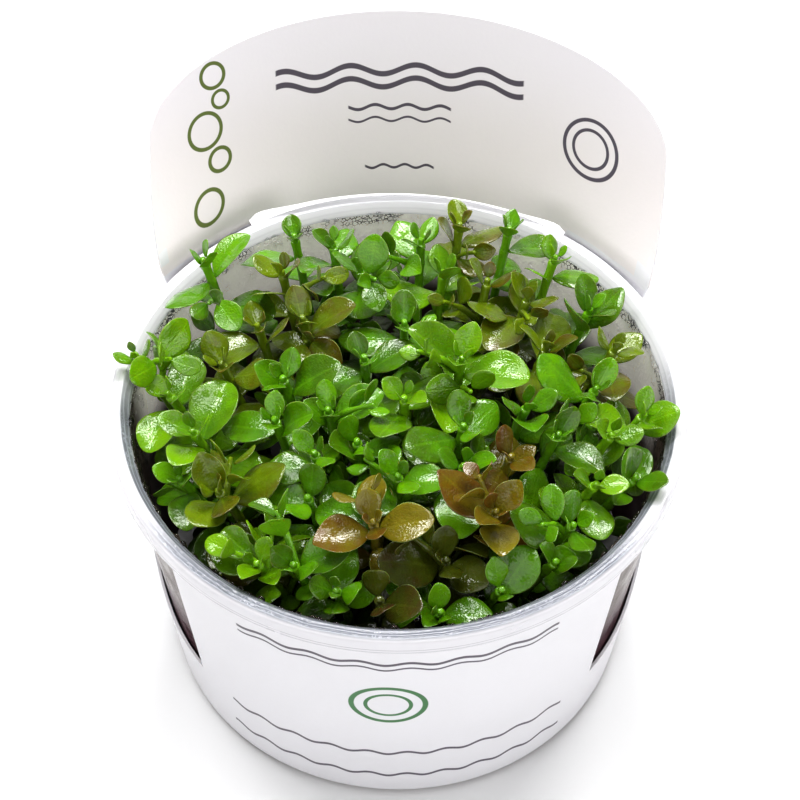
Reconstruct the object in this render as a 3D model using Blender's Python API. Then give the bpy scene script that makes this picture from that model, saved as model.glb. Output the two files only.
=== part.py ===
"""A clear cup with a card sleeve and nutrient gel, full of short leafy Bacopa shoots.

Metres, +Z up. The origin is the centre of the cup's flat base, and the sleeve's header is at +Y.
"""

import math
import random
from typing import NamedTuple

import bmesh
import bpy
from mathutils import Matrix, Vector
from mathutils.bvhtree import BVHTree

# Cup
CUP_HEIGHT = 0.0604
RIM_RADIUS = 0.0500
BASE_RADIUS = 0.0415
WALL_FLARE = 0.108
WALL = 0.0009
FOOT_CHAMFER = 0.0011
SKIRT_DROP = 0.0036
SKIRT_WALL = 0.0007
FLANGE_WALL = 0.0014
RIM_EDGE = 0.0005
LIP_RADIUS = 0.0478
MOUTH_RADIUS = 0.0463
MOUTH_DROP = 0.0018
CUP_STEPS = 36

# Sleeve
CARD = 0.0005
CARD_GAP = 0.0004
SLEEVE_BOTTOM = 0.0010
SLEEVE_TOP = CUP_HEIGHT - SKIRT_DROP - 0.0006
STRAP_START = 0.0460
STRAP_RADIUS = 0.0509
HEADER_TURN = math.radians(-2.0)
HEADER_BACK = 0.0484
HEADER_LEAN = math.tan(math.radians(22.3))
HEADER_CURVE = 0.0535
HEADER_UNCURL = 1.95
HEADER_HALF_FOOT = 0.0510
HEADER_HALF_WIDTH = 0.0487
HEADER_SHOULDER = 0.0174
HEADER_HEIGHT = 0.0337
HEADER_SKEW = -0.013
HEADER_COLUMNS = 20
HEADER_ROWS = 4
SLOT_TOP = 0.0012
SLOT_HALF_COLUMNS = 4
SLIT_FOOT = 0.0178
SLIT_TURNS = (math.radians(-130.3), math.radians(127.1))
SLIT_OPENING = math.radians(52.0)
SLIT_BEND = 3.0
SIDE_COLUMNS = 2
SLIT_COLUMNS = 6
FRONT_COLUMNS = 12

# Growing medium
GEL_TOP = 0.0160
GEL_GAP = 0.0003
GEL_STEPS = 36

# Shoots
STEM_RADIUS = 0.0010
FOOT_SPREAD = 0.70
STEM_BOW = 1.6
NODE_BAND = 0.0010
LEAF_WIDTH = 0.72
LEAF_THICKNESS = 0.0007
LEAF_MIDDLE = 0.5
TIP_WIDTH = 0.40
LEAF_CLEARANCE = 0.00035
LONGEST_LEAF = 0.0140
CAGE_START = 0.08
STEM_SECTIONS = 6
SWAY = 9
LENGTH_CHANCE = (0.90, 1.08)
STEEPEST = math.radians(76)
RIM_CLEARANCE = 0.0006
HEADER_REACH = 0.0150
OVERHANG_RADIUS = 0.0540
SEED = 7


class Pair(NamedTuple):
    """A node with two opposite leaves: share is of the shoot's full leaf length."""

    below_tip: float
    share: float
    pitch: float
    droop: float


PAIRS = (
    Pair(below_tip=0.0014, share=0.55, pitch=52, droop=12),
    Pair(below_tip=0.0046, share=1.00, pitch=30, droop=34),
    Pair(below_tip=0.0100, share=0.95, pitch=16, droop=38),
)

# What a leaf tries until nothing is in its way: turn about the stem, extra pitch, share of length.
LEAF_WAYS = (
    (0, 0, 1.0),
    (0, 14, 1.0),
    (14, 4, 1.0),
    (-14, 4, 1.0),
    (0, -14, 1.0),
    (24, 10, 0.92),
    (-24, 10, 0.92),
    (0, 26, 0.92),
    (32, 0, 0.85),
    (-32, 0, 0.85),
    (0, 40, 0.85),
    (40, 24, 0.8),
    (-40, 24, 0.8),
    (0, 0, 0.7),
    (26, 34, 0.7),
    (-26, 34, 0.7),
    (0, 52, 0.7),
    (45, 46, 0.6),
    (-45, 46, 0.6),
    (0, 20, 0.5),
)

# The planting, from the back row to the front: tip x and y, tip height above the rim,
# turn of the widest pair in degrees, leaf length, colour.
SHOOTS = (
    (-0.035, 0.026, 0.008, 42, 0.0113, "green"),
    (-0.019, 0.033, 0.007, 15, 0.0097, "green"),
    (-0.012, 0.033, 0.005, 75, 0.0097, "green"),
    (-0.007, 0.028, 0.004, 80, 0.0103, "green"),
    (0.004, 0.034, 0.005, 150, 0.0103, "green"),
    (0.011, 0.036, 0.007, 10, 0.0103, "olive"),
    (0.020, 0.035, 0.007, 165, 0.0092, "green"),
    (0.028, 0.028, 0.007, 15, 0.0092, "lime"),
    (-0.021, 0.025, 0.006, 60, 0.0103, "olive"),
    (0.008, 0.028, 0.003, 20, 0.0119, "lime"),
    (0.016, 0.026, 0.003, 85, 0.0108, "olive"),
    (0.023, 0.021, 0.004, 60, 0.0108, "olive"),
    (-0.046, 0.007, 0.004, 100, 0.0076, "lime"),
    (-0.040, 0.000, 0.002, 60, 0.0103, "lime"),
    (-0.025, 0.014, 0.004, 20, 0.0097, "olive"),
    (-0.017, 0.015, 0.005, 15, 0.0113, "olive"),
    (-0.031, 0.006, 0.003, 20, 0.0113, "olive"),
    (0.001, 0.014, 0.005, 5, 0.0113, "green"),
    (0.034, 0.018, 0.004, 30, 0.0119, "green"),
    (0.026, 0.010, 0.003, 80, 0.0113, "olive"),
    (0.038, 0.009, 0.004, 70, 0.0103, "olive"),
    (-0.020, 0.001, 0.005, 160, 0.0113, "green"),
    (-0.006, 0.005, 0.006, 30, 0.0103, "green"),
    (0.011, 0.004, 0.007, 165, 0.0119, "lime"),
    (0.001, -0.005, 0.007, 60, 0.0103, "lime"),
    (0.022, -0.005, 0.005, 100, 0.0119, "green"),
    (0.034, -0.001, 0.005, 150, 0.0113, "green"),
    (0.042, -0.006, 0.004, 5, 0.0103, "lime"),
    (-0.035, -0.010, 0.004, 70, 0.0113, "lime"),
    (-0.021, -0.009, 0.006, 170, 0.0103, "green"),
    (-0.012, -0.006, 0.005, 10, 0.0103, "green"),
    (-0.007, -0.012, 0.004, 30, 0.0097, "green"),
    (0.011, -0.011, 0.007, 20, 0.0113, "green"),
    (0.027, -0.012, 0.006, 150, 0.0103, "green"),
    (0.036, -0.012, 0.006, 85, 0.0097, "lime"),
    (-0.037, -0.017, 0.000, 60, 0.0097, "green"),
    (-0.030, -0.022, 0.003, 20, 0.0135, "olive"),
    (-0.014, -0.017, 0.007, 40, 0.0103, "green"),
    (-0.015, -0.024, 0.004, 150, 0.0119, "green"),
    (0.000, -0.021, 0.006, 35, 0.0103, "green"),
    (0.011, -0.018, 0.005, 80, 0.0113, "green"),
    (0.019, -0.016, 0.005, 30, 0.0113, "bronze"),
    (0.033, -0.021, 0.004, 90, 0.0097, "lime"),
    (0.040, -0.018, 0.002, 60, 0.0124, "green"),
    (0.029, -0.028, 0.002, 20, 0.0130, "green"),
    (-0.004, -0.032, 0.008, 10, 0.0108, "bronze"),
    (0.016, -0.029, 0.007, 139, 0.0124, "bronze"),
    (0.008, -0.033, -0.001, 10, 0.0119, "plum"),
    (-0.023, -0.036, 0.002, 150, 0.0092, "lime"),
    (-0.017, -0.037, 0.003, 60, 0.0108, "green"),
    (-0.010, -0.040, 0.000, 85, 0.0097, "green"),
    (-0.003, -0.041, -0.001, 15, 0.0113, "plum"),
    (0.007, -0.042, -0.003, 15, 0.0097, "green"),
    (0.017, -0.039, -0.001, 20, 0.0108, "green"),
    (0.026, -0.034, 0.000, 60, 0.0097, "green"),
)

COLOURS = {
    "clear_plastic": ((0.80, 0.82, 0.84), 0.20),
    "white_card": ((0.86, 0.84, 0.85), 0.45),
    "gel": ((0.12, 0.07, 0.05), 0.25),
    "green": ((0.08, 0.30, 0.02), 0.25),
    "lime": ((0.22, 0.42, 0.03), 0.25),
    "olive": ((0.18, 0.21, 0.03), 0.30),
    "bronze": ((0.27, 0.15, 0.03), 0.30),
    "plum": ((0.12, 0.10, 0.09), 0.30),
}


def clear_scene():
    for old in list(bpy.data.objects):
        bpy.data.objects.remove(old)


def make_material(name):
    colour, roughness = COLOURS[name]
    material = bpy.data.materials.new(name)
    material.use_nodes = True
    shader = material.node_tree.nodes["Principled BSDF"]
    shader.inputs["Base Color"].default_value = (*colour, 1.0)
    shader.inputs["Roughness"].default_value = roughness
    shader.inputs["Metallic"].default_value = 0.0
    return material


def finish_object(name, bm, material):
    """Turns the bmesh into a named object with its faces pointing outwards."""
    bmesh.ops.recalc_face_normals(bm, faces=bm.faces[:])
    mesh = bpy.data.meshes.new(name)
    bm.to_mesh(mesh)
    bm.free()
    mesh.materials.append(material)
    obj = bpy.data.objects.new(name, mesh)
    bpy.context.scene.collection.objects.link(obj)
    return obj


def outer_wall(z):
    return BASE_RADIUS + WALL_FLARE * z


def spin_profile(profile, steps):
    """A closed solid turned about Z from (radius, height) points that start and end on the axis."""
    bm = bmesh.new()
    points = [bm.verts.new((radius, 0, z)) for radius, z in profile]
    edges = [bm.edges.new(pair) for pair in zip(points, points[1:])]
    bmesh.ops.spin(
        bm,
        geom=points + edges,
        cent=(0, 0, 0),
        axis=(0, 0, 1),
        angle=math.tau,
        steps=steps,
        use_merge=True,
    )
    bmesh.ops.remove_doubles(bm, verts=bm.verts[:], dist=1e-6)
    return bm


def make_cup(material):
    skirt_foot = CUP_HEIGHT - SKIRT_DROP
    flange_under = CUP_HEIGHT - FLANGE_WALL
    mouth_z = CUP_HEIGHT - MOUTH_DROP
    profile = (
        (0, 0),
        (BASE_RADIUS - FOOT_CHAMFER, 0),
        (outer_wall(FOOT_CHAMFER), FOOT_CHAMFER),
        (outer_wall(flange_under), flange_under),
        (RIM_RADIUS - SKIRT_WALL, flange_under),
        (RIM_RADIUS - SKIRT_WALL, skirt_foot),
        (RIM_RADIUS, skirt_foot),
        (RIM_RADIUS, CUP_HEIGHT - RIM_EDGE),
        (RIM_RADIUS - RIM_EDGE, CUP_HEIGHT),
        (LIP_RADIUS, CUP_HEIGHT),
        (MOUTH_RADIUS, mouth_z),
        (outer_wall(2 * WALL) - WALL, 2 * WALL),
        (outer_wall(WALL) - 2 * WALL, WALL),
        (0, WALL),
    )
    return finish_object("cup", spin_profile(profile, CUP_STEPS), material)


def header_point(along, height):
    """A point of the header's print side: along the card, and above the rim."""
    curve = HEADER_CURVE + HEADER_UNCURL * height
    back = HEADER_BACK + HEADER_LEAN * height
    turn = along / curve
    x = curve * math.sin(turn)
    y = back - curve + curve * math.cos(turn)
    return Vector((x, y, CUP_HEIGHT + height + HEADER_SKEW * along))


def header_half_width(height):
    share = min(height / HEADER_SHOULDER, 1.0)
    return HEADER_HALF_FOOT + (HEADER_HALF_WIDTH - HEADER_HALF_FOOT) * share


def header_top(share):
    """Height of the arch over the card at a share of its half width."""
    return HEADER_SHOULDER + (HEADER_HEIGHT - HEADER_SHOULDER) * math.sqrt(max(0.0, 1 - share**2))


def round_point(turn, radius, z):
    return Vector((radius * math.sin(turn), radius * math.cos(turn), z))


def card_radius(z):
    return outer_wall(z) + CARD_GAP + CARD


def spread(first, last, count):
    """Values from just after the first to the last in even steps."""
    return [first + (last - first) * i / count for i in range(1, count + 1)]


def wrap_columns(header_turns):
    """Each upright line of the wrap: its turn from the header, and how much of it is above a slit."""
    left_slit, right_slit = SLIT_TURNS
    columns = [(turn, 1.0) for turn in header_turns]
    right_top = right_slit - SLIT_OPENING
    columns += [(turn, 1.0) for turn in spread(header_turns[-1], right_top, SIDE_COLUMNS)]
    falling = [share**SLIT_BEND for share in spread(1.0, 0.0, SLIT_COLUMNS)]
    rising = [share**SLIT_BEND for share in spread(0.0, 1.0, SLIT_COLUMNS)]
    columns += list(zip(spread(right_top, right_slit, SLIT_COLUMNS), falling))
    columns.append((right_slit, 1.0))
    columns += [(turn, 1.0) for turn in spread(right_slit, math.tau + left_slit, FRONT_COLUMNS)]
    columns.append((left_slit, 0.0))
    left_top = left_slit + SLIT_OPENING
    columns += list(zip(spread(left_slit, left_top, SLIT_COLUMNS), rising))
    columns += [(turn, 1.0) for turn in spread(left_top, header_turns[0], SIDE_COLUMNS)[:-1]]
    return columns


def make_sleeve(material):
    """One sheet: the wrap with its two slits, the two straps outside the rim, and the header."""
    bm = bmesh.new()
    shares = [
        math.sin(math.pi * (i / HEADER_COLUMNS - 0.5)) for i in range(HEADER_COLUMNS + 1)
    ]
    edge_turn = HEADER_HALF_FOOT / STRAP_RADIUS
    columns = wrap_columns([share * edge_turn for share in shares])
    right_slit = HEADER_COLUMNS + SIDE_COLUMNS + SLIT_COLUMNS
    slits = (right_slit, right_slit + FRONT_COLUMNS + 1)
    middle = HEADER_COLUMNS // 2

    def is_strap(column):
        return column <= HEADER_COLUMNS and abs(column - middle) >= SLOT_HALF_COLUMNS

    wrap = []
    for level in (SLEEVE_BOTTOM, SLIT_FOOT, STRAP_START, SLEEVE_TOP):
        row = []
        for column, (turn, share) in enumerate(columns):
            z = SLIT_FOOT + (level - SLIT_FOOT) * share if level > SLIT_FOOT else level
            lifted = level == SLEEVE_TOP and is_strap(column)
            radius = STRAP_RADIUS if lifted else card_radius(z)
            row.append(bm.verts.new(round_point(turn, radius, z)))
        wrap.append(row)
    for low, high in zip(wrap, wrap[1:]):
        for i in range(len(columns)):
            j = (i + 1) % len(columns)
            if i not in slits:
                bm.faces.new((low[i], low[j], high[j], high[i]))

    header = []
    for level in range(HEADER_ROWS + 1):
        row = []
        for share in shares:
            height = SLOT_TOP + (header_top(share) - SLOT_TOP) * level / HEADER_ROWS
            point = header_point(share * header_half_width(height), height)
            if level == 0 and is_strap(len(row)):
                point.xy = point.xy.normalized() * max(point.xy.length, STRAP_RADIUS)
            row.append(bm.verts.new(point))
        header.append(row)
    for low, high in zip(header, header[1:]):
        for i in range(HEADER_COLUMNS):
            bm.faces.new((low[i], low[i + 1], high[i + 1], high[i]))
    for i in range(HEADER_COLUMNS):
        if is_strap(i) and is_strap(i + 1):
            bm.faces.new((wrap[-1][i], wrap[-1][i + 1], header[0][i + 1], header[0][i]))

    bmesh.ops.remove_doubles(bm, verts=bm.verts[:], dist=1e-6)
    header_turn = Matrix.Rotation(HEADER_TURN, 3, "Z")
    bmesh.ops.rotate(bm, verts=bm.verts[:], cent=(0, 0, 0), matrix=header_turn)
    bmesh.ops.recalc_face_normals(bm, faces=bm.faces[:])
    bottom_face = min(bm.faces, key=lambda face: face.calc_center_median().z)
    centre = bottom_face.calc_center_median()
    if bottom_face.normal.dot(Vector((centre.x, centre.y, 0))) < 0:
        bmesh.ops.reverse_faces(bm, faces=bm.faces[:])
    bmesh.ops.solidify(bm, geom=bm.faces[:], thickness=CARD)
    return finish_object("sleeve", bm, material)


def make_gel(material):
    low = WALL + GEL_GAP
    bm = bmesh.new()
    bmesh.ops.create_cone(
        bm,
        cap_ends=True,
        segments=GEL_STEPS,
        radius1=outer_wall(low) - 2 * WALL - 2 * GEL_GAP,
        radius2=outer_wall(GEL_TOP) - WALL - 2 * GEL_GAP,
        depth=GEL_TOP - low,
    )
    bmesh.ops.translate(bm, verts=bm.verts[:], vec=(0, 0, (GEL_TOP + low) / 2))
    return finish_object("growing_medium", bm, material)


class Leaf(NamedTuple):
    """How a leaf grows: turn about the stem, pitch, bend towards the tip, and length."""

    yaw: float
    pitch: float
    droop: float
    length: float


class Shoot:
    """One plantlet: where its stem runs, and the leaves that found room on it."""

    def __init__(self, x, y, rise, turn, leaf_length, colour):
        self.tip = Vector((x, y, CUP_HEIGHT + rise))
        self.foot = Vector((x * FOOT_SPREAD, y * FOOT_SPREAD, GEL_TOP + GEL_GAP))
        self.turn = math.radians(turn)
        self.leaf_length = leaf_length
        self.colour = colour
        self.leaves = {}

    def frame(self, below_tip, quarter=0):
        """Centre, outward direction and stem direction at a distance below the tip."""
        span = self.tip - self.foot
        share = max(0.0, 1 - below_tip / span.z)
        lean = Vector((span.x, span.y, 0))
        centre = self.foot + lean * share**STEM_BOW + Vector((0, 0, span.z * share))
        slope = lean * STEM_BOW * share ** (STEM_BOW - 1)
        along = (slope + Vector((0, 0, span.z))).normalized()
        angle = self.turn + quarter * math.pi / 2
        out = Vector((math.cos(angle), math.sin(angle), 0))
        out = (out - along * out.dot(along)).normalized()
        return centre, out, along

    def leaf_root(self, rank, side):
        """Where a leaf leaves the stem: the face of its node band on that side."""
        quarter = 2 * side + (rank + 1) % 2
        centre, out, along = self.frame(PAIRS[rank].below_tip + NODE_BAND / 2, quarter)
        return centre + out * STEM_RADIUS * math.sqrt(0.5), out, along


def leaf_sections(root, leaf, stations):
    """(centre, side, normal) across the leaf at each share of its length."""
    start, out, along = root
    out = Matrix.Rotation(leaf.yaw, 3, along) @ out
    side = along.cross(out)
    sections = []
    for share in stations:
        angle = leaf.pitch - leaf.droop * share
        forward = (math.sin(leaf.pitch) - math.sin(angle)) / leaf.droop
        upward = (math.cos(angle) - math.cos(leaf.pitch)) / leaf.droop
        centre = start + (out * forward + along * upward) * leaf.length
        normal = along * math.cos(angle) - out * math.sin(angle)
        sections.append((centre, side, normal))
    return sections


def tube_faces(sections):
    """Faces of a square tube whose corners are listed four to a section."""
    faces = []
    for base in range(0, 4 * (sections - 1), 4):
        for i in range(4):
            j = (i + 1) % 4
            faces.append((base + i, base + j, base + j + 4, base + i + 4))
    return faces


def leaf_cage(root, leaf, clearance):
    """Corners and faces of the leaf beyond its stem, grown by the clearance."""
    middle = leaf.length * LEAF_WIDTH / 2
    share = CAGE_START / LEAF_MIDDLE
    start = STEM_RADIUS * math.sqrt(0.5) * (1 - share) + middle * share
    widths = (start, middle, middle * TIP_WIDTH)
    stations = (CAGE_START, LEAF_MIDDLE, 1 + clearance / leaf.length)
    thick = LEAF_THICKNESS / 2 + clearance
    points = []
    for (centre, side, normal), width in zip(leaf_sections(root, leaf, stations), widths):
        wide = side * (width + clearance)
        deep = normal * thick
        points += [centre - wide - deep, centre + wide - deep]
        points += [centre + wide + deep, centre - wide + deep]
    return points, tube_faces(3) + [(0, 1, 2, 3), (8, 9, 10, 11)]


def stem_cage(shoot):
    """The stem as a square tube grown by the clearance, which no leaf may cross."""
    points = []
    reach = STEM_RADIUS + LEAF_CLEARANCE
    length = shoot.tip.z - shoot.foot.z
    for section in range(STEM_SECTIONS):
        centre, out, along = shoot.frame(length * section / (STEM_SECTIONS - 1))
        across = along.cross(out)
        for way in (out, across, -out, -across):
            points.append(centre + way * reach)
    return points, tube_faces(STEM_SECTIONS)


def clear_of_cup(points):
    """Whether a leaf's corners stay inside the wall, or above the rim where it hangs over."""
    for point in points:
        radius = point.xy.length
        if point.z < CUP_HEIGHT + RIM_CLEARANCE:
            limit = min(outer_wall(point.z) - WALL, MOUTH_RADIUS) - LEAF_CLEARANCE
        elif point.y > HEADER_REACH:
            limit = LIP_RADIUS - RIM_CLEARANCE
        else:
            limit = OVERHANG_RADIUS
        if radius > limit:
            return False
    return True


def find_way(shoot, root, wish, taken):
    """The first way in which a leaf touches neither the cup nor what has grown already."""
    for yaw, lift, shrink in LEAF_WAYS:
        pitch = min(wish.pitch + math.radians(lift), STEEPEST)
        leaf = Leaf(wish.yaw + math.radians(yaw), pitch, wish.droop, wish.length * shrink)
        points, faces = leaf_cage(root, leaf, LEAF_CLEARANCE)
        if not clear_of_cup(points):
            continue
        tree = BVHTree.FromPolygons(points, faces)
        if not any(owner is not shoot and tree.overlap(other) for owner, other in taken):
            return leaf
    return None


def grow_leaves(shoots):
    """Grows every leaf, from the top pairs down, and leaves out one that finds no room."""
    chance = random.Random(SEED)
    stems = [(shoot, BVHTree.FromPolygons(*stem_cage(shoot))) for shoot in shoots]
    grown = []
    for rank, pair in enumerate(PAIRS):
        for shoot in shoots:
            for side in (0, 1):
                root = shoot.leaf_root(rank, side)
                wish = Leaf(
                    math.radians(chance.uniform(-SWAY, SWAY)),
                    math.radians(pair.pitch + chance.uniform(-SWAY, SWAY)),
                    math.radians(pair.droop),
                    shoot.leaf_length * pair.share * chance.uniform(*LENGTH_CHANCE),
                )
                near = [
                    (None, tree)
                    for other_root, tree in grown
                    if (other_root - root[0]).length < 2 * LONGEST_LEAF
                ]
                leaf = find_way(shoot, root, wish, stems + near)
                if leaf:
                    shoot.leaves[rank, side] = leaf
                    tree = BVHTree.FromPolygons(*leaf_cage(root, leaf, 0.0))
                    grown.append((root[0], tree))


def extrude_cap(bm, cap, ring_frame):
    """Extrudes the stem's end face up to a frame and gives the new end and the sides."""
    cap = bmesh.ops.extrude_discrete_faces(bm, faces=[cap])["faces"][0]
    place_ring(cap, ring_frame)
    sides = []
    for edge in cap.edges:
        sides += [face for face in edge.link_faces if face is not cap]
    return cap, sides


def place_ring(cap, ring_frame):
    """Puts the four corners of a stem section midway between its four leaf directions."""
    centre, out, along = ring_frame
    across = along.cross(out)
    for i, loop in enumerate(cap.loops):
        angle = math.pi / 4 + i * math.pi / 2
        loop.vert.co = centre + (out * math.cos(angle) + across * math.sin(angle)) * STEM_RADIUS


def extrude_leaf(bm, face, root, leaf):
    """Draws a leaf out of a face of the stem's node band, first to its middle, then to its tip."""
    _, out, along = root
    across = along.cross(out)
    centre = face.calc_center_median()
    corners = []
    for loop in face.loops:
        offset = loop.vert.co - centre
        corners.append((math.copysign(1, offset.dot(across)), math.copysign(1, offset.dot(along))))
    middle_width = leaf.length * LEAF_WIDTH / 2
    widths = (middle_width, middle_width * TIP_WIDTH)
    sections = leaf_sections(root, leaf, (LEAF_MIDDLE, 1.0))
    for (middle, side, normal), width in zip(sections, widths):
        face = bmesh.ops.extrude_discrete_faces(bm, faces=[face])["faces"][0]
        for loop, (left, top) in zip(face.loops, corners):
            loop.vert.co = middle + side * width * left + normal * LEAF_THICKNESS / 2 * top


def make_shoot(name, shoot, material):
    """A square stem extruded ring by ring, with a leaf drawn out of each side of a node."""
    bm = bmesh.new()
    bmesh.ops.create_circle(bm, cap_ends=True, segments=4, radius=STEM_RADIUS)
    bm.faces.ensure_lookup_table()
    cap = bm.faces[0]
    if cap.normal.z < 0:
        cap.normal_flip()
    place_ring(cap, shoot.frame(shoot.tip.z - shoot.foot.z))
    bands = {}
    for rank in reversed(range(len(PAIRS))):
        below_tip = PAIRS[rank].below_tip
        cap, _ = extrude_cap(bm, cap, shoot.frame(below_tip + NODE_BAND))
        cap, bands[rank] = extrude_cap(bm, cap, shoot.frame(below_tip))
    cap, _ = extrude_cap(bm, cap, shoot.frame(0.0))
    bmesh.ops.pointmerge(bm, verts=cap.verts[:], merge_co=shoot.tip)
    foot_edges = [edge for edge in bm.edges if len(edge.link_faces) == 1]
    bmesh.ops.holes_fill(bm, edges=foot_edges, sides=0)
    for (rank, side), leaf in shoot.leaves.items():
        root = shoot.leaf_root(rank, side)
        face = max(bands[rank], key=lambda one: one.calc_center_median().dot(root[1]))
        bands[rank].remove(face)
        extrude_leaf(bm, face, root, leaf)
    return finish_object(name, bm, material)


def main():
    clear_scene()
    materials = {name: make_material(name) for name in COLOURS}
    make_cup(materials["clear_plastic"])
    make_sleeve(materials["white_card"])
    make_gel(materials["gel"])
    shoots = [Shoot(*values) for values in SHOOTS]
    grow_leaves(shoots)
    for number, shoot in enumerate(shoots, start=1):
        make_shoot(f"shoot_{number:02d}", shoot, materials[shoot.colour])


main()
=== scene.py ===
"""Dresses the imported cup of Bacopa: clear cup, printed card sleeve, gel and glossy plantlets."""

import math
import random
from typing import NamedTuple

import bmesh
import bpy
from mathutils import Matrix, Vector
from mathutils.bvhtree import BVHTree


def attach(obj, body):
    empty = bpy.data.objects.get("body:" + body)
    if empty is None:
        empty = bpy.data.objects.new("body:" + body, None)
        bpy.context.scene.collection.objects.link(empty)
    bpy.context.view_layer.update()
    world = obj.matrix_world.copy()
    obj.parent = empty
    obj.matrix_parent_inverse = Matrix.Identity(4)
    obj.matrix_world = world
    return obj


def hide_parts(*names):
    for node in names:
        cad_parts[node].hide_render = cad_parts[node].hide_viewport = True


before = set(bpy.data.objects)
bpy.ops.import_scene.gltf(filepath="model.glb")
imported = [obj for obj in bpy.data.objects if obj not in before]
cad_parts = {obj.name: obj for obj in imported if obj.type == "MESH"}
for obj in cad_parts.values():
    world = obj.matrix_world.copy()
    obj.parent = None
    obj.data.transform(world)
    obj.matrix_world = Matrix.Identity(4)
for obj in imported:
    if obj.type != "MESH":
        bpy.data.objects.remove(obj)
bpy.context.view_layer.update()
scene = bpy.context.scene

# Camera: it stands in front and looks down into the cup at about 50 degrees, with a long lens,
# so that the header stands up behind the plants.
CAMERA_PLACE = (0.0, -0.242829, 0.352691)
CAMERA_RIGHT = Vector((0.999991, 0.002681, 0.003154))
CAMERA_UP = Vector((-0.004077, 0.769606, 0.638507))
CAMERA_BACK = Vector((-0.000716, -0.638514, 0.769610))
CAMERA_LENS = 99.19
CAMERA_NEAR = 0.01
VIEW_GAMMA = 0.85

camera = bpy.data.objects.new("camera", bpy.data.cameras.new("camera"))
camera.data.lens = CAMERA_LENS
camera.data.clip_start = CAMERA_NEAR
camera.matrix_world = Matrix((CAMERA_RIGHT, CAMERA_UP, CAMERA_BACK)).transposed().to_4x4()
camera.matrix_world.translation = CAMERA_PLACE
scene.collection.objects.link(camera)
scene.camera = camera
scene.view_settings.view_transform = "Standard"
scene.view_settings.gamma = VIEW_GAMMA


# Cup: one thin injection moulding of clear plastic that stands on its flat base. Its wall flares
# a little, and its rim is milky, with a skirt that hangs over the outside.
CUP_HEIGHT = 0.0604
RIM_RADIUS = 0.0500
BASE_RADIUS = 0.0415
WALL_FLARE = 0.108
WALL = 0.0009
SKIRT_DROP = 0.0036
MOUTH_RADIUS = 0.0463
LIP_RADIUS = 0.0478
MOUTH_DROP = 0.0018

# Radius and height along the cup's section: up the outside, over the rim and down the inside.
CUP_PROFILE = (
    (0.0, 0.0), (0.0404, 0.0), (0.04162, 0.0011), (0.04787, 0.0590),
    (0.0493, 0.0590), (0.0493, 0.0568), (0.0500, 0.0568), (0.0500, 0.0599),
    (0.0495, 0.0604), (0.0478, 0.0604), (0.0463, 0.0586), (0.0445, 0.0400),
    (0.04079, 0.0018), (0.0398, 0.0009), (0.0, 0.0009),
)
CORNER_ROUND = 0.00022
CORNER_SEGMENTS = 3
CUP_STEPS = 144
CREASE = math.radians(50)
MERGE_DISTANCE = 1e-6
MILKY_DEPTH = 0.0038
RIM_TOP_SLOPE = 0.3

# Where the fog's foot is, how it sets in with the height and away from the front, and the height
# at which its drops join into a band of painted dark outlines. Then the heights over which the
# painted shade of the lower wall turns from plum to brown.
FOG_START = 0.0395
FOG_RISE = (0.0400, 0.0480)
FOG_SIDES = (-0.002, 0.010)
SHADE_RISE = (0.022, 0.042)
BAND_RISE = (0.0558, 0.0570)
# Strength of the painted glow of the fogged wall, which stands in for light coming through it.
PAINTED_GLOW = 0.24
PLASTIC_IOR = 1.46

# Radius and strength of each moulded line on the rim's top, and heights of those on its skirt.
RIM_LINES = ((0.0496, 0.45), (0.0487, 0.30), (LIP_RADIUS, 0.55), (0.0470, 0.35), (0.04640, 0.60))
RIM_LINE_WIDTH = 0.00016
SKIRT_LINES = (CUP_HEIGHT - 0.0026, CUP_HEIGHT - 0.0032)
SKIRT_LINE_STRENGTH = 0.55

# Colours of the plastics. Where there are two, fine clouds mix them.
# The browns and plums are painted shade: the stems and gel in shade behind the lower wall.
SHADE_BROWNS = ((0.165, 0.120, 0.100), (0.120, 0.085, 0.070))
SHADE_PLUMS = ((0.150, 0.080, 0.095), (0.105, 0.052, 0.065))
FOG_WHITES = ((1.0, 0.97, 0.93), (0.93, 0.89, 0.84))
# Colour of the painted glow of the fogged wall.
PAINTED_GLOW_COLOUR = (1.0, 0.94, 0.90)
# The painted dark outline of water drops, where their edges bend the light away.
DROP_RIM_SHADE = (0.10, 0.10, 0.12)
MILKY_WHITES = ((0.90, 0.89, 0.92), (0.85, 0.84, 0.88))
# Painted shade on the front of the rim, with moisture dots in it.
MOIST_SHADE_GREYS = ((0.24, 0.25, 0.285), (0.42, 0.435, 0.49))
SKIRT_GROOVE = (0.42, 0.41, 0.44)
RIM_GROOVE = (0.36, 0.36, 0.40)
BLACK = (0, 0, 0)


class Value:
    """An output of a shader node, to calculate with and to feed to further nodes."""

    def __init__(self, paint, socket):
        self.paint = paint
        self.socket = socket

    def calculate(self, operation, *others):
        return self.paint.add("Math", self, *others, settings={"operation": operation})

    def __add__(self, other):
        return self.calculate("ADD", other)

    def __sub__(self, other):
        return self.calculate("SUBTRACT", other)

    def __mul__(self, other):
        return self.calculate("MULTIPLY", other)

    def __abs__(self):
        return self.calculate("ABSOLUTE")

    def most(self, other):
        return self.calculate("MAXIMUM", other)

    def scaled(self, first, last, low=0.3, high=0.7):
        """First where this is low, last where it is high, and even steps between them."""
        return self.paint.add("MapRange", self, low, high, first, last)

    def between(self, low, high):
        """0 below low, 1 above high, and a soft step between them."""
        settings = {"interpolation_type": "SMOOTHSTEP"}
        return self.paint.add("MapRange", self, low, high, settings=settings)

    def mix(self, first, second):
        """The first colour where this is 0, and the second where it is 1."""
        made = self.paint.tree.nodes.new("ShaderNodeMix")
        made.data_type = "RGBA"
        for number, value in ((0, self), (6, first), (7, second)):
            self.paint.feed(made.inputs[number], value)
        return Value(self.paint, made.outputs[2])


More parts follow.
